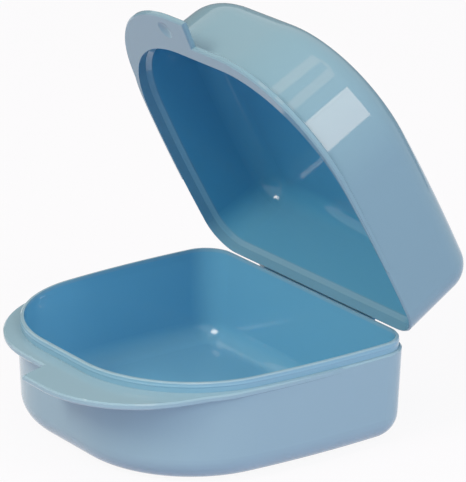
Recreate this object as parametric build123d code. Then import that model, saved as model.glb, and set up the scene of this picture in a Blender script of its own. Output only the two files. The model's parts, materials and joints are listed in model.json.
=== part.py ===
"""Denture case: a drafted tub and a domed lid, moulded in one shot with the thin web that hinges them.

Frame: origin on the table under the middle of the rim, +X along the hinge, +Y towards the hinge,
+Z up.  Millimetres.  The parts are written at rest, with the lid standing open as it is shown.
"""
from build123d import *
import math
import os

os.makedirs("parts", exist_ok=True)

# ---- plan of the rim, shared by the tub's shoulder and the lid's skirt ----
rim_depth = 79.9            # from the front of the rim to the hinge side
rim_rear_half = 43.6        # half width at the hinge side, before the corners are rounded
rim_front_half = 38.4       # half width at the front, before the corners are rounded
rim_side_radius = 282.0     # the sides bow out very slightly
rim_rear_corner = 9.4
rim_front_corner = 34.0

# ---- walls ----
wall = 1.7                  # tub wall at the rim, and the lid's wall above its ledge
floor_wall = 1.8            # flat floor of the tub and flat top of the lid
skirt = 0.6                 # thin rim of the lid outside the tub's lip
lip_clearance = 0.2         # between the lip and the skirt round it
closing_gap = 0.3           # between the tub's shoulder and the closed lid
rim_edge_break = 0.4        # round the back, where no flange covers the rim's edge

# ---- tub ----
shoulder_height = 24.7
tub_draft = 2.2             # degrees
tub_bottom_round = 7.0
lip_height = 2.7
lip_top_break = 0.3
lip_dip = 1.1               # the lip is lower along the hinge, so the lid swings clear of it
lip_dip_half = 33.0

# ---- lid ----
lid_height = 24.9
lid_draft = 2.4             # degrees
lid_top_round = 7.8
recess_depth = 2.6          # straight wall that takes the lip
ledge_rise = 1.1            # sloping step from the recess in to the lid's wall

# ---- snap line: a fine bead round the lip ----
bead_height = 0.1
bead_half_width = 0.4
bead_level = 1.6            # above the shoulder

# ---- thumb tabs: one half of the front each, side by side when the case is shut ----
tub_tab_reach = 12.5        # beyond the front of the rim
lid_tab_reach = 11.7
tab_corner_x = 31.5
tub_tab_corner_round = 29.0
lid_tab_corner_round = 34.0
tab_root = (42.4, -12.5)    # where the tab runs out along the side
tab_side_radius = 130.0
tab_thickness = 1.65
tab_edge_break = 0.4
tub_narrow_reach = 4.3      # the narrow flange beside each tab
lid_narrow_reach = 3.4
flange_end_y = 16.0         # where the narrow flange has run out into the side
notch_x = -0.6              # where both tabs' end edges start, on the narrow flange
tub_tab_tip_x = 2.4         # where the tub's tab ends, at its outer edge
lid_tab_tip_x = 0.7
dimple_place = (-9.8, -46.9)
dimple_diameter = 5.3
dimple_depth = 0.7

# ---- hinge: two lands and a thin web between them ----
hinge_half = 24.5
land_length = 1.15
land_root = 1.0             # thickness where the land leaves the wall
land_drop = 0.25            # middle of the land's tip, off the rim's level
web_thickness = 0.35
axis_from_rim = 1.6         # the fold line, behind the rim
rest_angle = 61.4           # degrees that the lid stands open

# ---- places worked out from the sizes ----
rear_y = rim_depth / 2
front_y = -rim_depth / 2
lip_inset = skirt + lip_clearance
lip_top = shoulder_height + lip_height
lid_rim = shoulder_height + closing_gap
ledge_top = lid_rim + recess_depth + ledge_rise
axis_y = rear_y + axis_from_rim
axis_z = shoulder_height + closing_gap / 2
land_end = rear_y + land_length


def rim_face(inset, z):
    """The rim's outline, moved in by inset and lying at height z."""
    with BuildSketch() as plan:
        with BuildLine():
            rear_left = (-rim_rear_half, rear_y)
            rear_right = (rim_rear_half, rear_y)
            front_right = (rim_front_half, front_y)
            front_left = (-rim_front_half, front_y)
            Line(front_left, front_right)
            RadiusArc(front_right, rear_right, -rim_side_radius)
            Line(rear_right, rear_left)
            RadiusArc(rear_left, front_left, -rim_side_radius)
        make_face()
        fillet(plan.vertices().group_by(Axis.Y)[-1], rim_rear_corner)
        fillet(plan.vertices().group_by(Axis.Y)[0], rim_front_corner)
        if inset:
            offset(amount=-inset)
    return plan.sketch.moved(Location((0, 0, z)))


def drafted(inset, z, height, draft):
    """A block on the rim's outline that narrows as it leaves z, up or down by height."""
    block = extrude(rim_face(inset, 0), amount=abs(height), taper=draft)
    if height < 0:
        block = mirror(block, about=Plane.XY)
    return block.moved(Location((0, 0, z)))


def ring_rounded(block, level, radius):
    """The block with the edges at its level rounded."""
    edges = block.edges().filter_by_position(Axis.Z, level - 0.01, level + 0.01)
    return fillet(edges, radius)


def ring_broken(block, level, width):
    """The block with the edges at its level broken by a narrow chamfer."""
    edges = block.edges().filter_by_position(Axis.Z, level - 0.01, level + 0.01)
    return chamfer(edges, width)


def crescent(reach, corner_round, z):
    """A flange under or over the rim, the tab's full width on both halves of the front."""
    tip_y = front_y - reach
    with BuildSketch() as plan:
        with BuildLine():
            Line((-tab_corner_x, tip_y), (tab_corner_x, tip_y))
            RadiusArc((tab_corner_x, tip_y), tab_root, -tab_side_radius)
            Line(tab_root, (-tab_root[0], tab_root[1]))
            RadiusArc((-tab_root[0], tab_root[1]), (-tab_corner_x, tip_y), -tab_side_radius)
        make_face()
        fillet(plan.vertices().group_by(Axis.Y)[0], corner_round)
    return plan.sketch.moved(Location((0, 0, z)))


def beside_split(notch, tip, side, z):
    """The half plane beside a tab's end edge, a line from notch to tip: side is 1 right, -1 left."""
    line_x = tip[0] - notch[0]
    line_y = tip[1] - notch[1]
    stretch = 2 * rim_depth / abs(line_y)
    near = (notch[0] - stretch * line_x, notch[1] - stretch * line_y)
    far = (notch[0] + stretch * line_x, notch[1] + stretch * line_y)
    beyond_x = side * 2 * rim_depth
    with BuildSketch() as plan:
        with BuildLine():
            Polyline(near, far, (beyond_x, far[1]), (beyond_x, near[1]), close=True)
        make_face()
    return plan.sketch.moved(Location((0, 0, z)))


def plate(outline):
    """A flat piece of the flange, tab_thickness up from its outline, with its edges broken."""
    block = extrude(outline, amount=tab_thickness, dir=(0, 0, 1))
    rims = block.edges().group_by(Axis.Z)
    return chamfer(rims[0] + rims[-1], tab_edge_break)


def flange(reach, corner_round, narrow_reach, tip_x, side, z):
    """Tab on one half of the front and narrow flange round the rest, up from z."""
    notch = (notch_x, front_y - narrow_reach)
    tip = (tip_x, front_y - reach)
    tab = plate(crescent(reach, corner_round, z) & beside_split(notch, tip, side, z))
    narrow = plate(rim_face(0, z).moved(Location((0, -narrow_reach, 0))))
    behind = Box(4 * rim_depth, 2 * rim_depth, 4 * tab_thickness).moved(
        Location((0, flange_end_y + rim_depth, z + tab_thickness / 2))
    )
    return tab + narrow - behind


def back_broken(block, level):
    """The block with its rim's edge at level broken round the back, behind the flange's end."""
    front = Box(4 * rim_depth, 2 * rim_depth, 8 * rim_edge_break).moved(
        Location((0, flange_end_y - rim_depth, level))
    )
    return ring_broken(block, level, rim_edge_break) + (block & front)


def land(rim_z, side):
    """Half of the hinge: a wedge that thins from the wall at the rim to the web."""
    tip_z = rim_z + side * land_drop
    with BuildSketch(Plane.YZ) as profile:
        with BuildLine():
            Polyline(
                (rear_y - wall / 2, rim_z),
                (rear_y, rim_z),
                (land_end, tip_z - side * web_thickness / 2),
                (land_end, tip_z + side * web_thickness / 2),
                (rear_y, rim_z + side * land_root),
                (rear_y - wall / 2, rim_z + side * land_root),
                close=True,
            )
        make_face()
    return extrude(profile.sketch, amount=hinge_half, both=True)


def make_tub():
    body = drafted(0, shoulder_height, -shoulder_height, tub_draft)
    body = ring_rounded(body, 0, tub_bottom_round)
    body = back_broken(body, shoulder_height)
    body += flange(
        tub_tab_reach,
        tub_tab_corner_round,
        tub_narrow_reach,
        tub_tab_tip_x,
        1,
        shoulder_height - tab_thickness,
    )
    body += land(shoulder_height, -1)
    lip = extrude(rim_face(lip_inset, shoulder_height), amount=lip_height, dir=(0, 0, 1))
    bead_angle = math.degrees(math.atan(bead_height / bead_half_width))
    bead_middle = shoulder_height + bead_level
    lip += drafted(lip_inset - bead_height, bead_middle, bead_half_width, bead_angle)
    lip += drafted(lip_inset - bead_height, bead_middle, -bead_half_width, bead_angle)
    lip = ring_broken(lip, lip_top, lip_top_break)
    body += lip
    hollow = drafted(wall, shoulder_height, floor_wall - shoulder_height, tub_draft)
    hollow = ring_rounded(hollow, floor_wall, tub_bottom_round - wall)
    hollow += extrude(rim_face(wall, shoulder_height), amount=2 * lip_height, dir=(0, 0, 1))
    body -= hollow
    dip_radius = (lip_dip_half**2 + lip_dip**2) / (2 * lip_dip)
    dip = Cylinder(dip_radius, 2 * rear_y - 2 * rim_rear_corner, rotation=(90, 0, 0)).moved(
        Location((0, 2 * rear_y - rim_rear_corner, lip_top - lip_dip + dip_radius))
    )
    return body - dip


def make_lid_closed():
    body = drafted(0, lid_rim, lid_height, lid_draft)
    body = ring_rounded(body, lid_rim + lid_height, lid_top_round)
    body = back_broken(body, lid_rim)
    body += flange(
        lid_tab_reach,
        lid_tab_corner_round,
        lid_narrow_reach,
        lid_tab_tip_x,
        -1,
        lid_rim,
    )
    body += land(lid_rim, 1)
    recess = extrude(rim_face(skirt, lid_rim), amount=recess_depth, dir=(0, 0, 1))
    recess += extrude(rim_face(skirt, lid_rim), amount=closing_gap, dir=(0, 0, -1))
    step_in = wall - skirt
    ledge_angle = math.degrees(math.atan(step_in / ledge_rise))
    recess += drafted(skirt, lid_rim + recess_depth, ledge_rise, ledge_angle)
    hollow_height = lid_height - floor_wall - (ledge_top - lid_rim)
    hollow = drafted(wall, ledge_top, hollow_height, lid_draft)
    hollow = ring_rounded(hollow, ledge_top + hollow_height, lid_top_round - wall)
    body -= recess + hollow
    dimple_radius = (dimple_diameter**2 / 4 + dimple_depth**2) / (2 * dimple_depth)
    dimple_z = lid_rim + dimple_depth - dimple_radius
    return body - Sphere(dimple_radius).moved(Location((*dimple_place, dimple_z)))


def opened(shape, angle):
    """A shape of the closed lid, swung open by angle about the fold line."""
    to_axis = Location((0, axis_y, axis_z))
    return shape.moved(to_axis * Location((0, 0, 0), (-angle, 0, 0)) * to_axis.inverse())


def make_web():
    """The web at rest: one arc from the tip of the tub's land up to the tip of the lid's land."""
    start = Vector(0, land_end, shoulder_height - land_drop)
    finish = Vector(opened(Vertex(0, land_end, lid_rim + land_drop), rest_angle))
    turn = 180 - rest_angle
    radius = (finish - start).length / (2 * math.sin(math.radians(turn / 2)))
    section = Plane(start, x_dir=(1, 0, 0), z_dir=(0, 1, 0)) * Rectangle(2 * hinge_half, web_thickness)
    return revolve(section, Axis((0, start.Y, start.Z + radius), (1, 0, 0)), turn)


tub = make_tub()
lid = opened(make_lid_closed(), rest_angle)
web = make_web()

for name, shape in {"base_tub": tub, "lid_shell": lid, "living_hinge": web}.items():
    shape.label = name
    export_step(shape, f"parts/{name}.step")
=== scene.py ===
"""Denture case: one moulding of pale blue polypropylene, standing open on a pale studio floor."""
import json
import math

import bpy
import numpy as np
from mathutils import Matrix, Quaternion, Vector


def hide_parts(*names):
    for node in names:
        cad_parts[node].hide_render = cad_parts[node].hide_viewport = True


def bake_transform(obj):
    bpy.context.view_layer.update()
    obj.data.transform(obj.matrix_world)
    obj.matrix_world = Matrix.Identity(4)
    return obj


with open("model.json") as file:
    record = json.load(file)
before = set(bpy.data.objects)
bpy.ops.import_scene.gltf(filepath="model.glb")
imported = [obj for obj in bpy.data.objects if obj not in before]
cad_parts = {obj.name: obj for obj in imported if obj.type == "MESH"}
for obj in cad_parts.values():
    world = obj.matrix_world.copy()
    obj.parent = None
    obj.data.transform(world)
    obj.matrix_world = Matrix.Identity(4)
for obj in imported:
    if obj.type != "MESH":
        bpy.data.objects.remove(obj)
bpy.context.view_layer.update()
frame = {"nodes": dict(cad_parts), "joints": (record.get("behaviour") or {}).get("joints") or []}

# ---- Camera -------------------------------------------------------------------------------
# A long lens, a little above the rim and off to the right of the hinge's middle, as the
# photograph's outlines give it: the camera was fitted to them together with the sizes.
camera_place = Vector((0.71233, -0.50866, 0.36149))
camera_forward = Vector((-0.75927, 0.55708, -0.33640))
camera_roll = 0.0085
camera_lens_mm = 281.2
sensor_width_mm = 36.0

camera_data = bpy.data.cameras.new("camera")
camera_data.lens = camera_lens_mm
camera_data.sensor_fit = "HORIZONTAL"
camera_data.sensor_width = sensor_width_mm
camera_data.clip_start = 0.01
camera = bpy.data.objects.new("camera", camera_data)
camera.location = camera_place
camera.rotation_mode = "QUATERNION"
level = camera_forward.to_track_quat("-Z", "Y")
camera.rotation_quaternion = level @ Quaternion((0, 0, 1), camera_roll)
bpy.context.scene.collection.objects.link(camera)
bpy.context.scene.camera = camera
bpy.context.scene.view_settings.view_transform = "Standard"

# ---- Tub and lid --------------------------------------------------------------------------
# Pale blue polypropylene, injection-moulded in one shot in a polished tool: a glossy skin with
# the faint waviness that shrinkage leaves in flat walls.  Its colour is painted in two tones:
# paler outside, painted light for what the slightly cloudy wall scatters back, and deeper
# inside, painted shade for the hollow's shade and the light that reaches it only through the wall.
# Depths are measured inwards from the fold line, and lengths frontwards from it.
hinge = frame["joints"][0]
fold_line = Vector(hinge["pos_m"])
lid_open = math.radians(-hinge["range_deg"][0])     # from shut to the way it stands here
tub_half = {
    "inwards": Vector((0, 0, -1)),                  # from the mouth to the floor
    "frontwards": Vector((0, -1, 0)),               # from the hinge to the thumb tab
    "shade_starts_at": -0.00215,                         # the painted shade starts below the lip's top
    "lip_shade_share": 0.4,                               # how much painted shade the lip's outer side gets
    # painted light outside and painted shade inside: two colours for the one plastic
    "outside": "#8cafc1",
    "inside": "#65aace",
}
lid_half = {                                        # the same ways, as the lid stands open
    "inwards": Vector((0, math.sin(lid_open), math.cos(lid_open))),
    "frontwards": Vector((0, -math.cos(lid_open), math.sin(lid_open))),
    "shade_starts_at": 0.00372,                          # the painted shade starts beyond the ledge in the recess
    "lip_shade_share": 0.0,                               # the lid has no lip
    # painted shade on the lid's outside too: a deeper copy of the tub's colour, as the open lid
    # gets less light
    "outside": "#7aa0b3",
    "inside": "#4e9dc3",                            # painted shade, deeper than the tub's, as less light comes through the lid
}
middle_depth = 0.00095          # the mouth's middle lies between the thumb tab's two faces
mouth_length = 0.08105          # where the mouth ends and the tab begins
lip_foot = 0.00015
rim_shade_share = 0.45                # the share of painted shade on inner faces near the rim, before it fully starts
upward_face_shade_share = 0.8               # painted light: less painted shade on a floor, as light comes up through it from the table
crease_shade_reach = 0.0019             # painted shade in the hinge's crease reaches this far round the fold line
wave_length = 0.018
wave_height = 0.0006


def linear(hex_colour):
    """An sRGB hex colour as the linear red, green, blue and alpha that shaders take."""
    srgb = np.array([int(hex_colour[i : i + 2], 16) for i in (1, 3, 5)]) / 255
    values = np.where(srgb <= 0.04045, srgb / 12.92, ((srgb + 0.055) / 1.055) ** 2.4)
    return (*values.tolist(), 1.0)


def add_node(tree, kind, settings=None, inputs=None, links=None):
    """A node of a kind, with its settings, its socket values, and links from other sockets."""
    node = tree.nodes.new(kind)
    for name, value in (settings or {}).items():
        setattr(node, name, value)
    for name, value in (inputs or {}).items():
        node.inputs[name].default_value = value
    for name, socket in (links or {}).items():
        tree.links.new(socket, node.inputs[name])
    return node


def new_material(name):
    """A node material and its tree, still empty."""
    material = bpy.data.materials.new(name)
    material.use_nodes = True
    material.node_tree.nodes.clear()
    return material, material.node_tree


def painted_shade_share(tree, place, half):
    """The share of painted shade in the plastic's colour, from 0 outside to 1 inside, as a socket.

    The shade is painted where a face in the mouth looks towards the half's middle, a little less
    where that face also looks up, as painted light come up through a floor, and in the crease
    of the hinge and on the lip's outer side, where shade falls.
    """
    middle = fold_line + fold_line.y * half["frontwards"] + middle_depth * half["inwards"]
    normal = place.outputs["Normal"]
    from_middle, from_fold = (
        add_node(
            tree,
            "ShaderNodeVectorMath",
            {"operation": "SUBTRACT"},
            inputs={1: start},
            links={0: place.outputs["Object"]},
        ).outputs["Vector"]
        for start in (middle, fold_line)
    )
    inwardness, frontness = (
        add_node(
            tree,
            "ShaderNodeVectorMath",
            {"operation": "DOT_PRODUCT"},
            inputs={1: way},
            links={0: from_fold},
        ).outputs["Value"]
        for way in (half["inwards"], half["frontwards"])
    )
    outwards = add_node(
        tree, "ShaderNodeVectorMath", {"operation": "NORMALIZE"}, links={0: from_middle}
    ).outputs["Vector"]
    facing_out = add_node(
        tree, "ShaderNodeVectorMath", {"operation": "DOT_PRODUCT"}, links={0: outwards, 1: normal}
    ).outputs["Value"]
    across_fold = add_node(
        tree,
        "ShaderNodeVectorMath",
        {"operation": "MULTIPLY"},
        inputs={1: (0, 1, 1)},
        links={0: from_fold},
    ).outputs["Vector"]
    fold_distance = add_node(
        tree, "ShaderNodeVectorMath", {"operation": "LENGTH"}, links={0: across_fold}
    ).outputs["Value"]
    upness = add_node(tree, "ShaderNodeSeparateXYZ", links={"Vector": normal}).outputs["Z"]

    # Each share is a ramp: a measure, its two ends, the share at each of them, and its course.
    shade_starts_at = half["shade_starts_at"]
    smooth, straight = "SMOOTHSTEP", "LINEAR"
    ramps = {
        "faces_middle": (facing_out, (-0.04, -0.3), (0, 1), smooth),
        "past_rim": (inwardness, (shade_starts_at, shade_starts_at + 0.0008), (rim_shade_share, 1), smooth),
        "in_mouth": (frontness, (mouth_length + 0.0006, mouth_length), (0, 1), straight),
        "looks_up": (upness, (0, 1), (1, upward_face_shade_share), smooth),
        "above_lip_foot": (inwardness, (lip_foot, lip_foot - 0.0002), (0, 1), straight),
        "upright": (upness, (0.75, 0.45), (0, half["lip_shade_share"]), smooth),
        "near_fold": (fold_distance, (crease_shade_reach, crease_shade_reach - 0.0004), (0, 1), smooth),
    }
    share = {}
    for name, (measure, (first, last), (at_first, at_last), course) in ramps.items():
        ramp = add_node(
            tree,
            "ShaderNodeMapRange",
            {"interpolation_type": course},
            inputs={"From Min": first, "From Max": last, "To Min": at_first, "To Max": at_last},
            links={"Value": measure},
        )
        share[name] = ramp.outputs["Result"]
    # the shares combine into where the painted shade lies
    for result, operation, one, other in (
        ("inner", "MULTIPLY", "faces_middle", "past_rim"),
        ("inner", "MULTIPLY", "inner", "in_mouth"),
        ("inner", "MULTIPLY", "inner", "looks_up"),
        ("lip_side", "MULTIPLY", "above_lip_foot", "upright"),
        ("deep", "MAXIMUM", "inner", "lip_side"),
        ("deep", "MAXIMUM", "deep", "near_fold"),
    ):
        both = add_node(
            tree, "ShaderNodeMath", {"operation": operation}, links={0: share[one], 1: share[other]}
        )
        share[result] = both.outputs["Value"]
    return share["deep"]


def moulded_polypropylene(name, half):
    """Glossy, faintly wavy polypropylene, with painted shade: deeper in colour inside its half of
    the case.
    """
    material, tree = new_material(name)
    place = add_node(tree, "ShaderNodeTexCoord")
    # the painted shade: the outside colour blends into the deeper inside one as its share grows
    colour = add_node(
        tree,
        "ShaderNodeMix",
        {"data_type": "RGBA"},
        inputs={"A": linear(half["outside"]), "B": linear(half["inside"])},
        links={"Factor": painted_shade_share(tree, place, half)},
    )
    wave = add_node(
        tree,
        "ShaderNodeTexNoise",
        inputs={"Scale": 1 / wave_length, "Detail": 1.0, "Roughness": 0.4},
        links={"Vector": place.outputs["Object"]},
    )
    bump = add_node(
        tree,
        "ShaderNodeBump",
        inputs={"Strength": 0.06, "Distance": wave_height},
        links={"Height": wave.outputs["Fac"]},
    )
    shader = add_node(
        tree,
        "ShaderNodeBsdfPrincipled",
        inputs={"Roughness": 0.055, "IOR": 1.42},
        links={"Base Color": colour.outputs["Result"], "Normal": bump.outputs["Normal"]},
    )
    add_node(tree, "ShaderNodeOutputMaterial", links={"Surface": shader.outputs["BSDF"]})
    return material


# one plastic, with its painted light and shade set apart for the tub and for the lid
tub_polypropylene = moulded_polypropylene("injection_moulded_polypropylene_tub", tub_half)
lid_polypropylene = moulded_polypropylene("injection_moulded_polypropylene_lid", lid_half)
for name, material in (
    ("base_tub", tub_polypropylene),
    ("lid_shell", lid_polypropylene),
    ("living_hinge", tub_polypropylene),
):
    node = frame["nodes"][name]
    node.data.materials.clear()
    node.data.materials.append(material)

# ---- Living hinge -------------------------------------------------------------------------
# The thin web that is moulded in one with the two halves and folds between them.  It is an arc
# from the tip of the tub's land up to the tip of the lid's land, built for the lid as it stands
# here.
land_length, land_depth = 0.00045, 0.0004       # the lands' tips, from the fold line
web_start, web_end = (
    np.array(fold_line + land_length * half["frontwards"] + land_depth * half["inwards"])[1:]
    for half in (tub_half, lid_half)
)                                               # y and z; it leaves the tub heading along +Y
web_turn = math.pi - lid_open
web_thickness = 0.00035
web_half_length = 0.0245
web_bite = 0.00015                              # how far each end runs on inside its land
web_arc_points = 13
web_stations = 13


def carried_along_x(one_side, other_side, stations):
    """A closed strip: point (i, j) is point i of the profile moved to station j along x.

    The profile runs along one side and back along the other; both sides are arrays of y and z,
    and between their matching points the two ends are closed.
    """
    profile = np.concatenate([one_side, other_side[::-1]])
    loop, count = len(profile), len(stations)
    points = np.empty((loop, count, 3))
    points[:, :, 0] = stations
    points[:, :, 1:] = profile[:, None]
    i, j = np.meshgrid(np.arange(loop), np.arange(count - 1), indexing="ij")
    after = (i + 1) % loop
    walls = [i * count + j, after * count + j, after * count + j + 1, i * count + j + 1]
    walls = np.stack(walls, -1).reshape(-1, 4)
    k = np.arange(len(one_side) - 1)
    cap = np.stack([k, k + 1, loop - 2 - k, loop - 1 - k], -1) * count
    return points.reshape(-1, 3), np.concatenate([walls, cap + count - 1, cap[:, ::-1]])


def add_mesh(name, points, faces, material):
    """A mesh object of one material, in the scene."""
    data = bpy.data.meshes.new(name)
    data.from_pydata(np.asarray(points).tolist(), [], np.asarray(faces).tolist())
    data.materials.append(material)
    made = bpy.data.objects.new(name, data)
    bpy.context.scene.collection.objects.link(made)
    return made


web_radius = np.linalg.norm(web_end - web_start) / (2 * math.sin(web_turn / 2))
web_centre = web_start + np.array([0.0, web_radius])
around = np.linspace(0, web_turn, web_arc_points)
outwards = np.stack([np.sin(around), -np.cos(around)], axis=1)
onwards = np.stack([np.cos(around), np.sin(around)], axis=1)
middle = web_centre + web_radius * outwards
middle = np.concatenate(
    [middle[:1] - web_bite * onwards[:1], middle, middle[-1:] + web_bite * onwards[-1:]]
)
outwards = np.concatenate([outwards[:1], outwards, outwards[-1:]])
web_points, web_faces = carried_along_x(
    middle + web_thickness / 2 * outwards,
    middle - web_thickness / 2 * outwards,
    np.linspace(-web_half_length, web_half_length, web_stations),
)
web = add_mesh("bending_web", web_points, web_faces, tub_polypropylene)
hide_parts("living_hinge")
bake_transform(web)

# ---- Floor --------------------------------------------------------------------------------
# A sheet of matt white board, lit so evenly that it reads as white; it keeps the case's
# soft shadow.
floor_half = 6.0
floor_height = -0.0001      # a hair under the case, so that the two faces don't coincide
floor_glow = 0.92           # share of plain white that the camera and the gloss see in it
sheet_corners = ((-1, -1), (1, -1), (1, 1), (-1, 1))


def seen_directly(tree):
    """1 for what the camera sees, straight or in a gloss or through glass, and 0 otherwise."""
    path = add_node(tree, "ShaderNodeLightPath")
    camera_or_gloss = add_node(
        tree,
        "ShaderNodeMath",
        {"operation": "ADD"},
        links={0: path.outputs["Is Camera Ray"], 1: path.outputs["Is Glossy Ray"]},
    )
    any_of_three = add_node(
        tree,
        "ShaderNodeMath",
        {"operation": "ADD", "use_clamp": True},
        links={0: camera_or_gloss.outputs["Value"], 1: path.outputs["Is Transmission Ray"]},
    )
    return any_of_three.outputs["Value"]


floor_material, tree = new_material("matt_white_board")
share = add_node(
    tree,
    "ShaderNodeMath",
    {"operation": "MULTIPLY"},
    inputs={1: floor_glow},
    links={0: seen_directly(tree)},
)
board = add_node(tree, "ShaderNodeBsdfDiffuse", inputs={"Color": linear("#d2c9e2")})
white = add_node(tree, "ShaderNodeEmission", inputs={"Color": linear("#ffffff"), "Strength": 1.0})
board_seen = add_node(
    tree,
    "ShaderNodeMixShader",
    links={0: share.outputs["Value"], 1: board.outputs["BSDF"], 2: white.outputs["Emission"]},
)
add_node(tree, "ShaderNodeOutputMaterial", links={"Surface": board_seen.outputs["Shader"]})
floor = add_mesh(
    "floor",
    [(x * floor_half, y * floor_half, floor_height) for x, y in sheet_corners],
    [(0, 1, 2, 3)],
    floor_material,
)

# ---- Tent ---------------------------------------------------------------------------------
# A white studio tent round the whole set gives even light from everywhere, and it is the
# white background that the camera and the gloss see.
tent_light = 0.46           # what the tent gives to matt surfaces, as against the white it shows
world = bpy.data.worlds.new("studio_tent")
bpy.context.scene.world = world
world.use_nodes = True
tree = world.node_tree
tree.nodes.clear()
strength = add_node(
    tree,
    "ShaderNodeMapRange",
    inputs={"To Min": tent_light, "To Max": 1.0},
    links={"Value": seen_directly(tree)},
)
tent = add_node(
    tree,
    "ShaderNodeBackground",
    inputs={"Color": linear("#ffffff")},
    links={"Strength": strength.outputs["Result"]},
)
add_node(tree, "ShaderNodeOutputWorld", links={"Surface": tent.outputs["Background"]})

# ---- Lamps --------------------------------------------------------------------------------
# Flat lamps that shine through the tent.  The window on the right makes the straight-sided
# patch on the lid, the flash the round highlights in the corners, and the rest the matt light.
case_middle = (0.0, 0.0, 0.03)
behind_middle = (0.0, 0.03, 0.03)
front_above = (0.0, -0.74, 0.67)
along_x, along_y = (1.0, 0.0, 0.0), (0.0, 1.0, 0.0)


def panel_lamp(name, target, direction, across, distance, width, height, radiance, colour):
    """A flat lamp that faces its target from a direction; a radiance of 1 looks plain white.

    Its width lies along across, as nearly as facing the target allows.
    """
    back = Vector(direction).normalized()
    side = (Vector(across) - Vector(across).dot(back) * back).normalized()
    up = back.cross(side)
    data = bpy.data.lights.new(name, "AREA")
    data.shape = "RECTANGLE"
    data.size = width
    data.size_y = height
    data.energy = radiance * math.pi * width * height
    data.color = linear(colour)[:3]
    lamp = bpy.data.objects.new(name, data)
    lamp.location = Vector(target) + distance * back
    lamp.rotation_mode = "QUATERNION"
    lamp.rotation_quaternion = Matrix((side, up, back)).transposed().to_quaternion()
    bpy.context.scene.collection.objects.link(lamp)
    return lamp


panel_lamp(
    "window",
    target=(0.037, 0.019, 0.088),           # on the lid's side, where its patch lies
    direction=(0.757, 0.168, 0.632),
    across=(0.264, 0.181, -0.366),
    distance=1.5,
    width=0.78,
    height=0.22,
    radiance=7.5,
    colour="#ffe4d2",
)
front_lamp = panel_lamp(
    "front_lamp",
    target=behind_middle,
    direction=front_above,
    across=along_x,
    distance=1.5,
    width=0.45,
    height=0.45,
    radiance=15.0,
    colour="#ffe9d2",
)
front_softbox = panel_lamp(
    "front_softbox",
    target=case_middle,
    direction=(0.0, -1.0, 0.9),
    across=along_x,
    distance=1.6,
    width=1.3,
    height=1.3,
    radiance=1.0,
    colour="#fff6e4",
)
right_softbox = panel_lamp(
    "right_softbox",
    target=case_middle,
    direction=(1.0, 0.0, 0.45),
    across=along_y,
    distance=1.6,
    width=1.3,
    height=1.3,
    radiance=1.7,
    colour="#e4f4ff",
)
for lamp in (front_lamp, front_softbox, right_softbox):
    lamp.visible_glossy = False             # the gloss shows the white tent that they shine through

flash = panel_lamp(
    "flash",
    target=behind_middle,
    direction=front_above,
    across=along_x,
    distance=1.4,
    width=0.56,
    height=0.56,
    radiance=16.0,
    colour="#fff2e6",
)
flash.visible_diffuse = False               # it gives only the highlights that the gloss shows

# ---- Ring lamp ----------------------------------------------------------------------------
# A flat glowing ring overhead: the pale looped stripe on the lid's side is its reflection.
ring_centre = np.array([0.33, -0.11, 1.5])
ring_inner, ring_outer = 0.145, 0.36
ring_radiance = 3.2
ring_steps = 64


def glowing(name, colour, strength):
    """A material that gives even light of a colour and is otherwise black."""
    material, tree = new_material(name)
    glow = add_node(
        tree, "ShaderNodeEmission", inputs={"Color": linear(colour), "Strength": strength}
    )
    add_node(tree, "ShaderNodeOutputMaterial", links={"Surface": glow.outputs["Emission"]})
    return material


turn = np.linspace(0, 2 * np.pi, ring_steps, endpoint=False)
circle = np.stack([np.cos(turn), np.sin(turn), np.zeros_like(turn)], axis=1)
step = np.arange(ring_steps)
following = (step + 1) % ring_steps
ring = add_mesh(
    "ring_lamp",
    np.concatenate([circle * ring_inner, circle * ring_outer]) + ring_centre,
    np.stack([step, following, following + ring_steps, step + ring_steps], axis=1),
    glowing("glowing_ring", "#ffe1ca", ring_radiance),
)
ring.visible_camera = False
ring.visible_shadow = False

# ---- Grey card ----------------------------------------------------------------------------
# It stands behind the case, out of the picture.  The gloss shows it at flat angles, which
# darkens the lid's outline and the top of the tab.
card_middle = np.array([-0.42, 0.31, 0.14])
card_half_width, card_half_height = 0.7, 0.14
card_side = np.array([0.592, 0.806, 0.0])
card_up = np.array([0.0, 0.0, 1.0])
card = add_mesh(
    "grey_card",
    [
        card_middle + u * card_half_width * card_side + v * card_half_height * card_up
        for u, v in sheet_corners
    ],
    [(0, 1, 2, 3)],
    glowing("grey_card_in_tent_light", "#8f9599", 1.0),
)
card.visible_camera = False
card.visible_diffuse = False
card.visible_shadow = False
